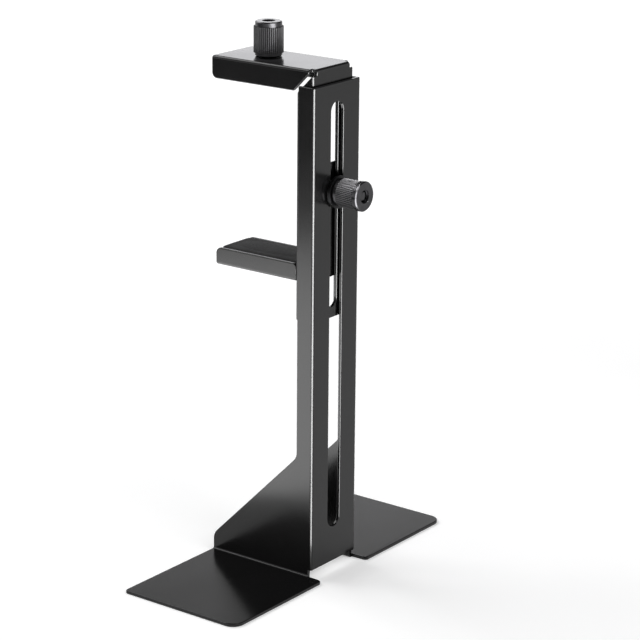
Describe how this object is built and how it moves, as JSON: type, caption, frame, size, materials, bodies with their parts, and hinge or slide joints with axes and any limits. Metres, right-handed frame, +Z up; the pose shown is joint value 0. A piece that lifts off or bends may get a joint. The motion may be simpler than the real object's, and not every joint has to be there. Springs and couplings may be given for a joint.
{
  "type": "graphics card support bracket",
  "caption": "Free-standing folded-sheet support that clamps the free end of a graphics card between a sliding tray and a screw-down top plate.",
  "frame": {"origin": "centre of the bounding box's base, on the floor", "axes": "+Z up along the column; +X from the slotted web's outer face towards the side knob; the feet reach out along Y"},
  "size_m": [0.0552, 0.1192, 0.1872],
  "materials": {
    "black_sheet": "semi-gloss black coating",
    "dark_knob": "dark anodised, satin",
    "dark_steel": "black oxide, satin",
    "zinc_steel": "zinc plated, satin",
    "black_rubber": "matt"
  },
  "bodies": {
    "stand": {"stand": "black_sheet"},
    "arm": {"lower_arm": "black_sheet", "tray_pad": "black_rubber", "arm_nut": "zinc_steel"},
    "bracket": {"upper_bracket": "black_sheet", "plate_nut": "zinc_steel"},
    "side_carrier": {"side_washer": "dark_steel"},
    "side_turn": {"side_knob": "dark_knob", "side_screw": "dark_steel"},
    "clamp_carrier": {"pressure_foot": "black_rubber"},
    "clamp_turn": {"top_knob": "dark_knob", "clamp_screw": "dark_steel"}
  },
  "joints": [
    {"name": "arm_slide", "type": "slide", "parent": "stand", "child": "arm", "axis": [0, 0, 1], "range_m": [-0.059, 0.027]},
    {"name": "bracket_slide", "type": "slide", "parent": "arm", "child": "bracket", "axis": [0, 0, 1], "range_m": [-0.031, 0.037]},
    {"name": "side_travel", "type": "slide", "parent": "arm", "child": "side_carrier", "axis": [1, 0, 0], "range_m": [0, 0.0024]},
    {"name": "side_knob_turn", "type": "hinge", "parent": "side_carrier", "child": "side_turn", "pos_m": [0.01624, 0, 0.1338], "axis": [1, 0, 0], "range_deg": [0, 1080]},
    {"name": "clamp_travel", "type": "slide", "parent": "bracket", "child": "clamp_carrier", "axis": [0, 0, 1], "range_m": [0, 0.0024]},
    {"name": "clamp_knob_turn", "type": "hinge", "parent": "clamp_carrier", "child": "clamp_turn", "pos_m": [-0.01226, 0, 0.1754], "axis": [0, 0, 1], "range_deg": [0, 1080]}
  ],
  "couplings": [
    {"joint": "side_knob_turn", "follows": "side_travel", "rad_per_m": 7853.9},
    {"joint": "clamp_knob_turn", "follows": "clamp_travel", "rad_per_m": 7853.9}
  ]
}
